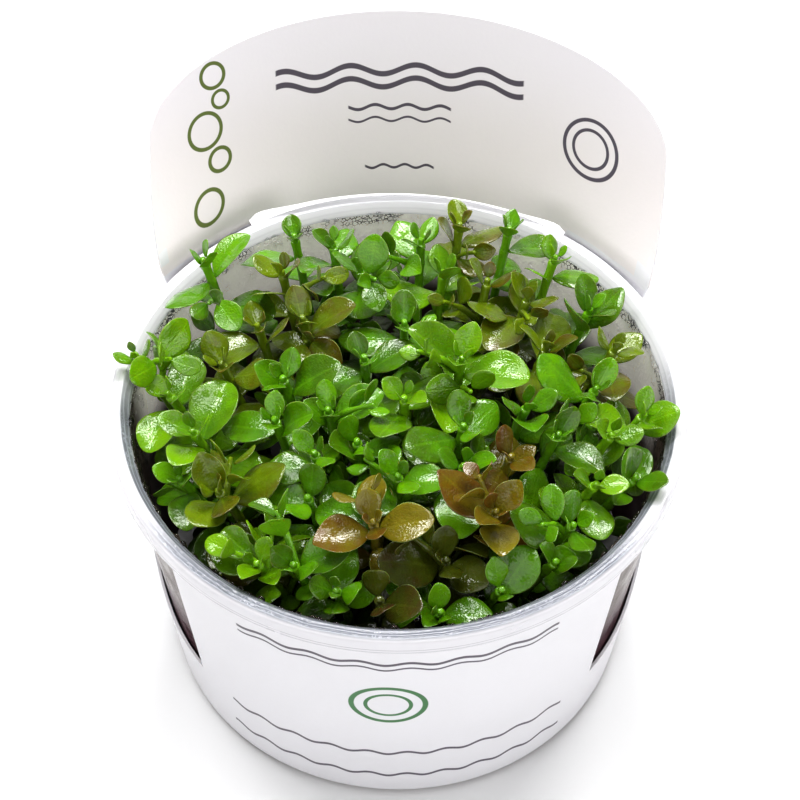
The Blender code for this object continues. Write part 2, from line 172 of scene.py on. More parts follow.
class Paint:
    """A new material with its constant inputs set, and its place in the piece as x, y and z."""

    def __init__(self, name, **fixed):
        self.material = bpy.data.materials.new(name)
        self.material.use_nodes = True
        self.tree = self.material.node_tree
        self.shader = self.tree.nodes["Principled BSDF"]
        for key, value in fixed.items():
            self.shader.inputs[key.replace("_", " ")].default_value = value
        self.place = self.add("TexCoord", output="Object")
        self.x, self.y, self.z = self.parts(self.place)

    def feed(self, socket, value):
        """Joins a socket to a value that is worked out, or sets it to a number or a colour."""
        if isinstance(value, Value):
            self.tree.links.new(value.socket, socket)
        else:
            socket.default_value = (*value, 1) if isinstance(value, tuple) else value

    def put(self, **named):
        """Feeds inputs of the shader itself, and gives back the material."""
        for key, value in named.items():
            self.feed(self.shader.inputs[key.replace("_", " ")], value)
        return self.material

    def add(self, kind, *ordered, output=0, settings=None, **named):
        """One output of a new node with its settings and its inputs, in order or by name."""
        made = self.tree.nodes.new("ShaderNode" + kind)
        for key, value in (settings or {}).items():
            setattr(made, key, value)
        for socket, value in zip(made.inputs, ordered):
            self.feed(socket, value)
        for key, value in named.items():
            self.feed(made.inputs[key], value)
        return Value(self, made.outputs[output])

    def parts(self, vector):
        """The three parts of a vector."""
        made = self.tree.nodes.new("ShaderNodeSeparateXYZ")
        self.feed(made.inputs[0], vector)
        return [Value(self, output) for output in made.outputs]

    def attribute(self, name, output):
        return self.add("Attribute", settings={"attribute_name": name}, output=output)

    def grain(self, scale, detail=2.0):
        return self.add("TexNoise", Vector=self.place, Scale=scale, Detail=detail, output="Fac")

    def cells(self, scale, feature="F1"):
        settings = {"feature": feature}
        return self.add(
            "TexVoronoi", settings=settings, Vector=self.place, Scale=scale, output="Distance"
        )

    def bump(self, height, strength, distance):
        return self.add(
            "Bump", Height=height, Strength=strength, Distance=distance, output="Normal"
        )


def finish_mesh(name, bm, *materials):
    """Makes an object of a bmesh and its materials, and puts it in the scene."""
    mesh = bpy.data.meshes.new(name)
    bm.to_mesh(mesh)
    bm.free()
    for material in materials:
        mesh.materials.append(material)
    piece = bpy.data.objects.new(name, mesh)
    scene.collection.objects.link(piece)
    return piece


def smooth_faces(bm, sharpest):
    """Shades all faces smooth, except across edges that turn more than an angle."""
    for face in bm.faces:
        face.smooth = True
    for edge in bm.edges:
        edge.smooth = edge.calc_face_angle(0.0) < sharpest


def painted_shade_tint(paint, haze):
    """Painted shade on the wall: the brown that stems and gel in shade give it, and plum towards
    the gel.
    """
    return paint.z.between(*SHADE_RISE).mix(haze.mix(*SHADE_PLUMS), haze.mix(*SHADE_BROWNS))


def make_wall_plastic():
    """Clear plastic with a breath of haze, coloured with the painted shade of the stems and gel
    behind it.
    """
    paint = Paint(
        "clear plastic", Transmission_Weight=0.15, IOR=PLASTIC_IOR, Specular_IOR_Level=0.01
    )
    haze = paint.grain(220.0, 4.0)
    return paint.put(
        Base_Color=painted_shade_tint(paint, haze),
        Roughness=haze.scaled(0.06, 0.25, low=0.35, high=0.75),
        Normal=paint.bump(paint.grain(900.0), 0.08, 0.0002),
    )


def make_fogged_plastic():
    """The inside of the wall above the leaves, fogged by fine moisture, with a faint painted glow
    for the light that passes through the wall. Its drops have painted dark outlines, and where
    the fog fades out it takes the wall's painted shade.
    """
    paint = Paint(
        "fogged plastic", IOR=PLASTIC_IOR, Specular_IOR_Level=0.05, Emission_Strength=PAINTED_GLOW
    )
    cloud = paint.grain(160.0, 4.0)
    fog = paint.z.between(*FOG_RISE) * paint.y.between(*FOG_SIDES)
    edges = paint.cells(1300.0, "DISTANCE_TO_EDGE").between(0.11, 0.04)
    patches = paint.grain(200.0).between(0.40, 0.50)
    # Painted dark outlines of the drops in the band under the rim.
    outlines = edges * paint.z.between(*BAND_RISE) * patches
    fogged = outlines.mix(cloud.mix(*FOG_WHITES), DROP_RIM_SHADE)
    return paint.put(
        Base_Color=fog.mix(painted_shade_tint(paint, cloud), fogged),
        # Painted glow where the wall is fogged, but not on the drop outlines.
        Emission_Color=outlines.mix(fog.mix(BLACK, PAINTED_GLOW_COLOUR), BLACK),
        Transmission_Weight=fog.scaled(0.15, 0.10, low=0.0, high=1.0),
        Roughness=cloud.scaled(0.15, 0.40),
        Normal=paint.bump(paint.cells(1700.0), 0.30, 0.0002),
    )


def make_skirt_plastic():
    """The rim's skirt, which scatters light inside, reads as white and has two moulded lines."""
    paint = Paint(
        "milky plastic", Transmission_Weight=0.15, IOR=PLASTIC_IOR, Specular_IOR_Level=0.35
    )
    cloud = paint.grain(90.0, 3.0)
    tint = cloud.mix(*MILKY_WHITES)
    for line in SKIRT_LINES:
        groove = abs(paint.z - line).between(0.00014, 0.00006)
        tint = (groove * SKIRT_LINE_STRENGTH).mix(tint, SKIRT_GROOVE)
    return paint.put(
        Base_Color=tint,
        Roughness=cloud.scaled(0.12, 0.32),
        Normal=paint.bump(paint.grain(1500.0), 0.10, 0.0001),
    )


def make_rim_plastic():
    """The rim's top: white at the back, and grey with painted shade towards the front and down the
    lip, with moisture dots and fine rings in that grey.
    """
    paint = Paint(
        "rim plastic", Transmission_Weight=0.20, IOR=PLASTIC_IOR, Specular_IOR_Level=0.35
    )
    across = paint.add("CombineXYZ", X=paint.x, Y=paint.y)
    length = {"operation": "LENGTH"}
    radius = paint.add("VectorMath", across, settings=length, output="Value")
    lip = radius.between(LIP_RADIUS + 0.0002, LIP_RADIUS - 0.0002)
    # Painted shade: grey towards the front, and on the lip's slope across its front half.
    grey = paint.y.between(-0.020, -0.036).most(lip * paint.y.between(0.014, -0.006))
    grey *= radius.between(RIM_RADIUS - 0.0002, RIM_RADIUS - 0.0008)

    rings = ((radius + paint.grain(160.0) * 0.0009) * 9000.0).calculate("SINE")
    cells = paint.cells(1100.0)
    bubbles = cells.between(0.22, 0.34) * cells.between(0.50, 0.38)
    bubbles *= paint.grain(120.0).between(0.50, 0.62)
    bright = bubbles.most(rings.between(0.2, 0.95))
    tint = grey.mix(MILKY_WHITES[0], bright.mix(*MOIST_SHADE_GREYS))
    # The moulded lines are drawn darker mostly where the painted shade is.
    marked = grey.scaled(0.35, 0.75, low=0.0, high=1.0)
    for middle, strength in RIM_LINES:
        line = abs(radius - middle).between(RIM_LINE_WIDTH, RIM_LINE_WIDTH * 0.4)
        tint = (line * strength * marked).mix(tint, RIM_GROOVE)
    return paint.put(
        Base_Color=tint,
        Roughness=paint.grain(300.0).scaled(0.04, 0.14),
        Normal=paint.bump((cells + rings * 0.4) * grey, 0.25, 0.0002),
    )


def spin_profile(bm, steps):
    """Turns the profile in a mesh once round the cup's axis, closed and facing outward."""
    bmesh.ops.spin(
        bm,
        geom=bm.verts[:] + bm.edges[:],
        cent=(0, 0, 0),
        axis=(0, 0, 1),
        angle=math.tau,
        steps=steps,
        use_merge=True,
    )
    bmesh.ops.remove_doubles(bm, verts=bm.verts[:], dist=MERGE_DISTANCE)
    bmesh.ops.recalc_face_normals(bm, faces=bm.faces[:])


def make_cup():
    bm = bmesh.new()
    outline = [bm.verts.new((radius, 0, z)) for radius, z in CUP_PROFILE]
    bm.faces.new(outline)
    bmesh.ops.bevel(
        bm,
        geom=[vert for vert in outline if vert.co.x > 0],
        affect="VERTICES",
        offset=CORNER_ROUND,
        segments=CORNER_SEGMENTS,
        profile=0.5,
        material=-1,
        clamp_overlap=True,
    )
    bmesh.ops.delete(bm, geom=bm.faces[:], context="FACES_ONLY")
    axis = [edge for edge in bm.edges if all(vert.co.x < 1e-6 for vert in edge.verts)]
    bmesh.ops.delete(bm, geom=axis, context="EDGES")
    spin_profile(bm, CUP_STEPS)
    for face in bm.faces:
        centre = face.calc_center_median()
        inward = face.normal.xy.dot(centre.xy) < 0
        if centre.z > CUP_HEIGHT - MILKY_DEPTH and centre.xy.length > MOUTH_RADIUS:
            on_top = face.normal.z > RIM_TOP_SLOPE and centre.z > CUP_HEIGHT - MOUTH_DROP
            face.material_index = 2 if on_top else 1
        elif centre.z > FOG_START and inward:
            face.material_index = 3
    smooth_faces(bm, CREASE)
    plastics = (
        make_wall_plastic(),
        make_skirt_plastic(),
        make_rim_plastic(),
        make_fogged_plastic(),
    )
    return finish_mesh("clear_cup", bm, *plastics)


clear_cup = make_cup()
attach(clear_cup, "root")
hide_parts("cup")


# Growing medium: a disc of set nutrient gel, poured into the cup and painted a near-black brown
# for the shade it lies in.
# Its edge climbs the wall in a small meniscus, and the stems stand in it.
GEL_TOP = 0.0160
GEL_GAP = 0.0003

# Radius and height along the gel's section, from below to the top.
GEL_PROFILE = (
    (0.0, 0.0012), (0.0388, 0.0012), (0.0400, 0.0022), (0.04162, 0.0160),
    (0.04165, 0.0163), (0.0405, 0.0161), (0.0385, 0.0160), (0.0, 0.0160),
)
GEL_STEPS = 72
GEL_CUTS = 6
# Painted shade: the gel's colours are the near-black of the shade at the cup's foot.
GEL_SHADE_BROWNS = ((0.008, 0.007, 0.010), (0.024, 0.018, 0.018))


def make_gel():
    bm = bmesh.new()
    outline = [bm.verts.new((radius, 0, z)) for radius, z in GEL_PROFILE]
    edges = [bm.edges.new(pair) for pair in zip(outline, outline[1:])]
    bmesh.ops.subdivide_edges(bm, edges=[edges[0], edges[-1]], cuts=GEL_CUTS)
    spin_profile(bm, GEL_STEPS)
    smooth_faces(bm, CREASE)
    paint = Paint("gel", Coat_Weight=0.6, Coat_Roughness=0.08, IOR=1.34)
    patches = paint.grain(140.0, 5.0)
    jelly = paint.put(
        Base_Color=patches.mix(*GEL_SHADE_BROWNS),
        Roughness=patches.scaled(0.2, 0.45),
        Normal=paint.bump(patches, 0.4, 0.0006),
    )
    return finish_mesh("nutrient_gel", bm, jelly)


nutrient_gel = make_gel()
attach(nutrient_gel, "root")
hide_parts("growing_medium")


# Plantlets: short Bacopa stems that stand in the gel, each with crossed pairs of thick glossy
# leaves, small and upright at the tip and wide and drooping below it.

# A shoot's stem and the room its leaves take, and how far leaves may reach past the rim.
STEM_RADIUS = 0.0010
FOOT_SPREAD = 0.70
STEM_BOW = 1.6
NODE_BAND = 0.0010
LEAF_WIDTH = 0.72
LEAF_THICKNESS = 0.0007
LEAF_MIDDLE = 0.5
TIP_WIDTH = 0.40
LEAF_CLEARANCE = 0.00035
LONGEST_LEAF = 0.0140
CAGE_START = 0.08
STEM_SECTIONS = 6
SWAY = 9
LENGTH_CHANCE = (0.90, 1.08)
STEEPEST = math.radians(76)
RIM_CLEARANCE = 0.0006
HEADER_REACH = 0.0150
OVERHANG_RADIUS = 0.0540
SEED = 7

# How fine the stems and leaves are drawn.
ROOT_DEPTH = 0.0015
BLADE_WIDTH = 0.82
STEM_SIDES = 8
SMOOTH = math.radians(180)
SPHERE_STEPS = 8


class Pair(NamedTuple):
    """Two opposite leaves: their place, share of the shoot's leaf length, pitch and droop in
    degrees, and 1 where they stand across the widest pair."""

    below_tip: float
    share: float
    pitch: float
    droop: float
    crossing: int


PAIRS = (
    Pair(0.0014, 0.55, 52, 12, 1),
    Pair(0.0046, 1.00, 30, 34, 0),
    Pair(0.0100, 0.95, 16, 38, 1),
)

# The youngest pair in the tip, old pairs in the shade, and the pairs of a side sprig. Then the
# nodes that sprigs rise from, how far they reach and rise, and how much room they need.
BUD_PAIR = Pair(0.0002, 0.30, 74, 10, 0)
LOWER_PAIRS = (
    Pair(0.0165, 0.95, 12, 36, 0),
    Pair(0.0235, 0.85, 6, 36, 1),
)
SPRIG_PAIRS = (
    Pair(0.0006, 0.60, 50, 14, 1),
    Pair(0.0028, 1.00, 30, 30, 0),
)
SPRIG_NODES = (0.0046, 0.0074, 0.0100, 0.0125, 0.0150, 0.0200)
SPRIG_REACH = (0.0030, 0.0085)
SPRIG_RISE = (0.0035, 0.0090)
SPRIG_SPACING = 0.0026
SPRIG_LEAVES = (0.0068, 0.0100)
SPRIG_STEM = 0.70
SPRIG_FEWEST = 3
SPRIG_ROOM = 0.0015
SPRIG_TURN = (0.2, 0.8)

# What a leaf tries until nothing is in its way: turn about the stem, extra pitch, share of length.
LEAF_WAYS = (
    (0, 0, 1.0), (0, 14, 1.0), (14, 4, 1.0), (-14, 4, 1.0), (0, -14, 1.0),
    (24, 10, 0.92), (-24, 10, 0.92), (0, 26, 0.92), (32, 0, 0.85), (-32, 0, 0.85),
    (0, 40, 0.85), (40, 24, 0.8), (-40, 24, 0.8), (0, 0, 0.7), (26, 34, 0.7),
    (-26, 34, 0.7), (0, 52, 0.7), (45, 46, 0.6), (-45, 46, 0.6), (0, 20, 0.5),
)

# The planting, from the back row to the front: tip x and y, tip height above the rim,
# turn of the widest pair in degrees, leaf length, colour.
SHOOTS = (
    (-0.035, 0.026, 0.008, 42, 0.0113, "green"),
    (-0.019, 0.033, 0.007, 15, 0.0097, "green"),
    (-0.012, 0.033, 0.005, 75, 0.0097, "green"),
    (-0.007, 0.028, 0.004, 80, 0.0103, "green"),
    (0.004, 0.034, 0.005, 150, 0.0103, "green"),
    (0.011, 0.036, 0.007, 10, 0.0103, "olive"),
    (0.020, 0.035, 0.007, 165, 0.0092, "green"),
    (0.028, 0.028, 0.007, 15, 0.0092, "lime"),
    (-0.021, 0.025, 0.006, 60, 0.0103, "olive"),
    (0.008, 0.028, 0.003, 20, 0.0119, "lime"),
    (0.016, 0.026, 0.003, 85, 0.0108, "olive"),
    (0.023, 0.021, 0.004, 60, 0.0108, "olive"),
    (-0.046, 0.007, 0.004, 100, 0.0076, "lime"),
    (-0.040, 0.000, 0.002, 60, 0.0103, "lime"),
    (-0.025, 0.014, 0.004, 20, 0.0097, "olive"),
    (-0.017, 0.015, 0.005, 15, 0.0113, "olive"),
    (-0.031, 0.006, 0.003, 20, 0.0113, "olive"),
    (0.001, 0.014, 0.005, 5, 0.0113, "green"),
    (0.034, 0.018, 0.004, 30, 0.0119, "green"),
    (0.026, 0.010, 0.003, 80, 0.0113, "olive"),
    (0.038, 0.009, 0.004, 70, 0.0103, "olive"),
    (-0.020, 0.001, 0.005, 160, 0.0113, "green"),
    (-0.006, 0.005, 0.006, 30, 0.0103, "green"),
    (0.011, 0.004, 0.007, 165, 0.0119, "lime"),
    (0.001, -0.005, 0.007, 60, 0.0103, "lime"),
    (0.022, -0.005, 0.005, 100, 0.0119, "green"),
    (0.034, -0.001, 0.005, 150, 0.0113, "green"),
    (0.042, -0.006, 0.004, 5, 0.0103, "lime"),
    (-0.035, -0.010, 0.004, 70, 0.0113, "lime"),
    (-0.021, -0.009, 0.006, 170, 0.0103, "green"),
    (-0.012, -0.006, 0.005, 10, 0.0103, "green"),
    (-0.007, -0.012, 0.004, 30, 0.0097, "green"),
    (0.011, -0.011, 0.007, 20, 0.0113, "green"),
    (0.027, -0.012, 0.006, 150, 0.0103, "green"),
    (0.036, -0.012, 0.006, 85, 0.0097, "lime"),
    (-0.037, -0.017, 0.000, 60, 0.0097, "green"),
    (-0.030, -0.022, 0.003, 20, 0.0135, "olive"),
    (-0.014, -0.017, 0.007, 40, 0.0103, "green"),
    (-0.015, -0.024, 0.004, 150, 0.0119, "green"),
    (0.000, -0.021, 0.006, 35, 0.0103, "green"),
    (0.011, -0.018, 0.005, 80, 0.0113, "green"),
    (0.019, -0.016, 0.005, 30, 0.0113, "bronze"),
    (0.033, -0.021, 0.004, 90, 0.0097, "lime"),
    (0.040, -0.018, 0.002, 60, 0.0124, "green"),
    (0.029, -0.028, 0.002, 20, 0.0130, "green"),
    (-0.004, -0.032, 0.008, 10, 0.0108, "bronze"),
    (0.016, -0.029, 0.007, 139, 0.0124, "bronze"),
    (0.008, -0.033, -0.001, 10, 0.0119, "plum"),
    (-0.023, -0.036, 0.002, 150, 0.0092, "lime"),
    (-0.017, -0.037, 0.003, 60, 0.0108, "green"),
    (-0.010, -0.040, 0.000, 85, 0.0097, "green"),
    (-0.003, -0.041, -0.001, 15, 0.0113, "plum"),
    (0.007, -0.042, -0.003, 15, 0.0097, "green"),
    (0.017, -0.039, -0.001, 20, 0.0108, "green"),
    (0.026, -0.034, 0.000, 60, 0.0097, "green"),
)


def outer_wall(z):
    return BASE_RADIUS + WALL_FLARE * z


class Leaf(NamedTuple):
    """How a leaf grows: turn about the stem, pitch, bend towards the tip, and length."""

    yaw: float
    pitch: float
    droop: float
    length: float


class Shoot:
    """One stem: where it runs, and the leaves that found room on it."""

    def __init__(self, tip, foot, turn, leaf_length, pairs, radius=STEM_RADIUS):
        self.radius = radius
        self.tip = tip
        self.foot = foot
        self.turn = turn
        self.leaf_length = leaf_length
        self.pairs = pairs
        self.leaves = []
        self.sprigs = []

    def frame(self, below_tip, quarter=0):
        """Centre, outward direction and stem direction at a distance below the tip."""
        span = self.tip - self.foot
        rise = 1 - below_tip / span.z
        share = max(0.0, rise)
        lean = Vector((span.x, span.y, 0))
        centre = self.foot + lean * share**STEM_BOW + Vector((0, 0, span.z * rise))
        slope = lean * STEM_BOW * share ** (STEM_BOW - 1)
        along = (slope + Vector((0, 0, span.z))).normalized()
        angle = self.turn + quarter * math.pi / 2
        out = Vector((math.cos(angle), math.sin(angle), 0))
        out = (out - along * out.dot(along)).normalized()
        return centre, out, along

    def leaf_root(self, pair, side):
        """Where a leaf leaves the stem: the face of its node band on that side."""
        quarter = 2 * side + pair.crossing
        centre, out, along = self.frame(pair.below_tip + NODE_BAND / 2, quarter)
        return centre + out * STEM_RADIUS * math.sqrt(0.5), out, along


def leaf_sections(root, leaf, stations):
    """(centre, side, normal) across the leaf at each share of its length."""
    start, out, along = root
    out = Matrix.Rotation(leaf.yaw, 3, along) @ out
    side = along.cross(out)
    sections = []
    for share in stations:
        angle = leaf.pitch - leaf.droop * share
        forward = (math.sin(leaf.pitch) - math.sin(angle)) / leaf.droop
        upward = (math.cos(angle) - math.cos(leaf.pitch)) / leaf.droop
        centre = start + (out * forward + along * upward) * leaf.length
        normal = along * math.cos(angle) - out * math.sin(angle)
        sections.append((centre, side, normal))
    return sections


def tube_faces(sections):
    """Faces of a square tube whose corners are listed four to a section."""
    faces = []
    for base in range(0, 4 * (sections - 1), 4):
        for i in range(4):
            j = (i + 1) % 4
            faces.append((base + i, base + j, base + j + 4, base + i + 4))
    return faces


def leaf_cage(root, leaf, clearance):
    """Corners and faces of the leaf beyond its stem, grown by the clearance."""
    middle = leaf.length * LEAF_WIDTH / 2
    share = CAGE_START / LEAF_MIDDLE
    start = STEM_RADIUS * math.sqrt(0.5) * (1 - share) + middle * share
    widths = (start, middle, middle * TIP_WIDTH)
    stations = (CAGE_START, LEAF_MIDDLE, 1 + clearance / leaf.length)
    thick = LEAF_THICKNESS / 2 + clearance
    points = []
    for (centre, side, normal), width in zip(leaf_sections(root, leaf, stations), widths):
        wide = side * (width + clearance)
        deep = normal * thick
        points += [centre - wide - deep, centre + wide - deep]
        points += [centre + wide + deep, centre - wide + deep]
    return points, tube_faces(3) + [(0, 1, 2, 3), (8, 9, 10, 11)]


def stem_cage(shoot):
    """The stem as a square tube grown by the clearance, which no leaf may cross."""
    points = []
    reach = shoot.radius + LEAF_CLEARANCE
    length = shoot.tip.z - shoot.foot.z
    for section in range(STEM_SECTIONS):
        centre, out, along = shoot.frame(length * section / (STEM_SECTIONS - 1))
        across = along.cross(out)
        for way in (out, across, -out, -across):
            points.append(centre + way * reach)
    return points, tube_faces(STEM_SECTIONS)


def clear_of_cup(points):
    """Whether a leaf's corners stay inside the wall, or above the rim where it hangs over."""
    for point in points:
        radius = point.xy.length
        if point.z < CUP_HEIGHT + RIM_CLEARANCE:
            limit = min(outer_wall(point.z) - WALL, MOUTH_RADIUS) - LEAF_CLEARANCE
        elif point.y > HEADER_REACH:
            limit = LIP_RADIUS - RIM_CLEARANCE
        else:
            limit = OVERHANG_RADIUS
        if radius > limit:
            return False
    return True


def find_way(shoot, root, wish, taken):
    """The first way in which a leaf touches neither the cup nor what has grown already."""
    for yaw, lift, shrink in LEAF_WAYS:
        pitch = min(wish.pitch + math.radians(lift), STEEPEST)
        leaf = Leaf(wish.yaw + math.radians(yaw), pitch, wish.droop, wish.length * shrink)
        points, faces = leaf_cage(root, leaf, LEAF_CLEARANCE)
        if not clear_of_cup(points):
            continue
        tree = BVHTree.FromPolygons(points, faces)
        if not any(owner is not shoot and tree.overlap(other) for owner, other in taken):
            return leaf
    return None


def grow_pair(pair, shoot, stems, grown, chance):
    """Grows one pair of leaves on a stem, and leaves out a leaf that finds no room."""
    for side in (0, 1):
        root = shoot.leaf_root(pair, side)
        wish = Leaf(
            math.radians(chance.uniform(-SWAY, SWAY)),
            math.radians(pair.pitch + chance.uniform(-SWAY, SWAY)),
            math.radians(pair.droop),
            shoot.leaf_length * pair.share * chance.uniform(*LENGTH_CHANCE),
        )
        near = [
            (None, tree)
            for other_root, tree in grown
            if (other_root - root[0]).length < 2 * LONGEST_LEAF
        ]
        leaf = find_way(shoot, root, wish, stems + near)
        if leaf:
            shoot.leaves.append((root, leaf))
            tree = BVHTree.FromPolygons(*leaf_cage(root, leaf, 0.0))
            grown.append((root[0], tree))


def plant_sprig(parent, below_tip, quarter, shoots, stems, grown, chance):
    """A short side stem that rises out of a node of a shoot, kept if it finds room for leaves."""
    foot, out, _ = parent.frame(below_tip, quarter + chance.uniform(*SPRIG_TURN))
    rise = Vector((0, 0, chance.uniform(*SPRIG_RISE)))
    tip = foot + out * chance.uniform(*SPRIG_REACH) + rise
    turn = chance.uniform(0, math.pi)
    leaf_length = chance.uniform(*SPRIG_LEAVES)
    sprig = Shoot(tip, foot, turn, leaf_length, SPRIG_PAIRS, parent.radius * SPRIG_STEM)
    points, faces = stem_cage(sprig)
    if any((one.tip - tip).length < SPRIG_SPACING for one in shoots) or not clear_of_cup(points):
        return
    tree = BVHTree.FromPolygons(points, faces)
    others = [other for owner, other in stems if owner is not parent]
    others += [other for root, other in grown if (root - foot).length > SPRIG_ROOM]
    if any(tree.overlap(other) for other in others):
        return
    had = len(grown)
    for pair in SPRIG_PAIRS:
        grow_pair(pair, sprig, stems, grown, chance)
    if len(sprig.leaves) < SPRIG_FEWEST:
        del grown[had:]
        return
    grow_pair(BUD_PAIR, sprig, stems, grown, chance)
    stems.append((sprig, tree))
    parent.sprigs.append(sprig)


def grow_leaves(shoots):
    """Grows the leaves of the shoots from the top pairs down, then their sprigs and lower pairs."""
    chance = random.Random(SEED)
    stems = [(shoot, BVHTree.FromPolygons(*stem_cage(shoot))) for shoot in shoots]
    grown = []
    for pair in PAIRS:
        for shoot in shoots:
            grow_pair(pair, shoot, stems, grown, chance)
    for shoot in shoots:
        grow_pair(BUD_PAIR, shoot, stems, grown, chance)
    for below_tip in SPRIG_NODES:
        for shoot in shoots:
            for quarter in range(4):
                plant_sprig(shoot, below_tip, quarter, shoots, stems, grown, chance)
    for pair in LOWER_PAIRS:
        for shoot in shoots:
            grow_pair(pair, shoot, stems, grown, chance)


# How far the form of a leaf varies: share of the planned width, how pointed it is, how far its
# sides curl, how sharply it folds along the midrib, and how far it twists, ripples and waves.
WIDTH_CHANCE = (0.90, 1.08)
POINT_CHANCE = (0.52, 0.82)
CURL_CHANCE = (0.10, 0.45)
FOLD_CHANCE = (-0.06, 0.24)
TWIST_CHANCE = (-0.45, 0.45)
RIPPLE_CHANCE = (0.0, 0.09)
SCALLOP_CHANCE = (0.0, 0.10)
LEAF_SHIFT = 1.10
BLADE_THINNESS = 0.42
TIP_THINNING = 0.45
MIDRIB_GROOVE = 0.10
RIPPLES = 9
SCALLOPS = 11

# How a stem swells and thins, as shares of its radius, and where along it.
FOOT_SWELL = 1.1
STRAIGHT_SHARE = 0.94
BUD_THINNESS = 0.55
BETWEEN_NODES = 0.85
NODE_SWELL = 1.28
NODE_FOOT_SWELL = 1.02
NODE_FOOT = 0.0010
NODE_HEAD = 0.0004
NODE_ROOM = 0.0012


def leaf_half_width(share, point):
    """Half the width of an obovate leaf, as a share of its widest: point sharpens its ends."""
    return max(0.0, math.sin(math.pi * share**LEAF_SHIFT)) ** point


def draw_leaf(bm, root, leaf, chance):
    """A ball whose poles become the leaf's base and tip, pressed flat, bent and rippled."""
    blade = bm.verts.layers.float_vector["blade"]
    tone = bm.verts.layers.float["tone"]
    made = bmesh.ops.create_uvsphere(
        bm, u_segments=SPHERE_STEPS, v_segments=SPHERE_STEPS, radius=1.0
    )
    verts = made["verts"]
    stations = sorted({round((1 + vert.co.z) / 2, 5) for vert in verts})
    sections = dict(zip(stations, leaf_sections(root, leaf, stations)))
    widest = leaf.length * BLADE_WIDTH * chance.uniform(*WIDTH_CHANCE) / 2
    point = chance.uniform(*POINT_CHANCE)
    curl = chance.choice((-1, 1)) * chance.uniform(*CURL_CHANCE)
    fold = chance.uniform(*FOLD_CHANCE)
    twist = chance.uniform(*TWIST_CHANCE)
    ripple = chance.uniform(*RIPPLE_CHANCE)
    scallop = chance.uniform(*SCALLOP_CHANCE) * chance.random()
    phase = chance.uniform(0.0, math.tau)
    shade = chance.random()
    for vert in verts:
        share = round((1 + vert.co.z) / 2, 5)
        ring = max(vert.co.xy.length, 1e-6)
        across, deep = vert.co.x / ring, vert.co.y / ring
        if ring < 1e-3:
            across = deep = 0.0
        centre, side, normal = sections[share]
        width = widest * leaf_half_width(share, point)
        width *= 1 + scallop * math.sin(SCALLOPS * share + phase + 2 * across)
        thick = LEAF_THICKNESS * BLADE_THINNESS * (1 - TIP_THINNING * share)
        turn = twist * share
        wide = side * math.cos(turn) + normal * math.sin(turn)
        up = normal * math.cos(turn) - side * math.sin(turn)
        lift = curl * width * across**2 + fold * width * abs(across)
        lift += ripple * widest * abs(across) * math.sin(RIPPLES * share + phase + across)
        if deep > 0.5:
            lift -= MIDRIB_GROOVE * width * (1 - abs(across)) * math.sin(math.pi * share)
        vert.co = centre + wide * width * across + up * (thick * deep + lift)
        vert[blade] = (share, across, deep)
        vert[tone] = shade


def extrude_cap(bm, cap, ring_frame, radius):
    """Extrudes the stem's end face to a frame, as a ring of the given radius."""
    cap = bmesh.ops.extrude_discrete_faces(bm, faces=[cap])["faces"][0]
    place_ring(cap, ring_frame, radius)
    return cap


def place_ring(cap, ring_frame, radius):
    centre, out, along = ring_frame
    across = along.cross(out)
    for i, loop in enumerate(cap.loops):
        angle = math.tau * (i + 0.5) / STEM_SIDES
        loop.vert.co = centre + (out * math.cos(angle) + across * math.sin(angle)) * radius


def stem_rings(shoot):
    """(distance below the tip, radius) of each ring of a stem: it swells at the nodes."""
    length = shoot.tip.z - shoot.foot.z
    foot_reach = ROOT_DEPTH if shoot.radius == STEM_RADIUS else 0.0
    lowest = length * STRAIGHT_SHARE
    rings = [(length + foot_reach, shoot.radius * FOOT_SWELL), (lowest, shoot.radius)]
    for pair in sorted(shoot.pairs + (BUD_PAIR,), reverse=True):
        node = pair.below_tip + NODE_BAND / 2
        thin = shoot.radius * (BUD_THINNESS if pair.below_tip < NODE_BAND else BETWEEN_NODES)
        if node + NODE_ROOM < lowest:
            rings.append((node + NODE_FOOT, thin * NODE_FOOT_SWELL))
            rings.append((node, thin * NODE_SWELL))
            rings.append((node - NODE_HEAD, thin))
    return rings


def draw_stem(bm, shoot, shade):
    """A stem drawn up ring by ring from its foot."""
    blade = bm.verts.layers.float_vector["blade"]
    tone = bm.verts.layers.float["tone"]
    made = bmesh.ops.create_circle(bm, cap_ends=True, segments=STEM_SIDES, radius=STEM_RADIUS)
    cap = made["verts"][0].link_faces[0]
    if cap.normal.z < 0:
        cap.normal_flip()
    rings = stem_rings(shoot)
    below_tip, radius = rings[0]
    place_ring(cap, shoot.frame(below_tip), radius)
    foot = list(cap.edges)
    verts = set(made["verts"])
    for below_tip, radius in rings[1:]:
        cap = extrude_cap(bm, cap, shoot.frame(below_tip), radius)
        verts.update(cap.verts)
    bmesh.ops.holes_fill(bm, edges=[edge for edge in foot if edge.is_valid], sides=0)
    for vert in verts:
        if vert.is_valid:
            vert[blade] = (-1.0, 0.0, 1.0)
            vert[tone] = shade


def make_plantlet(name, shoot, chance, material):
    bm = bmesh.new()
    bm.verts.layers.float_vector.new("blade")
    bm.verts.layers.float.new("tone")
    for stem in [shoot] + shoot.sprigs:
        draw_stem(bm, stem, chance.random())
        for root, leaf in stem.leaves:
            draw_leaf(bm, root, leaf, chance)
    bmesh.ops.recalc_face_normals(bm, faces=bm.faces[:])
    smooth_faces(bm, SMOOTH)
    piece = finish_mesh(name, bm, material)
    rounding = piece.modifiers.new("rounding", "SUBSURF")
    rounding.levels = rounding.render_levels = 1
    return piece


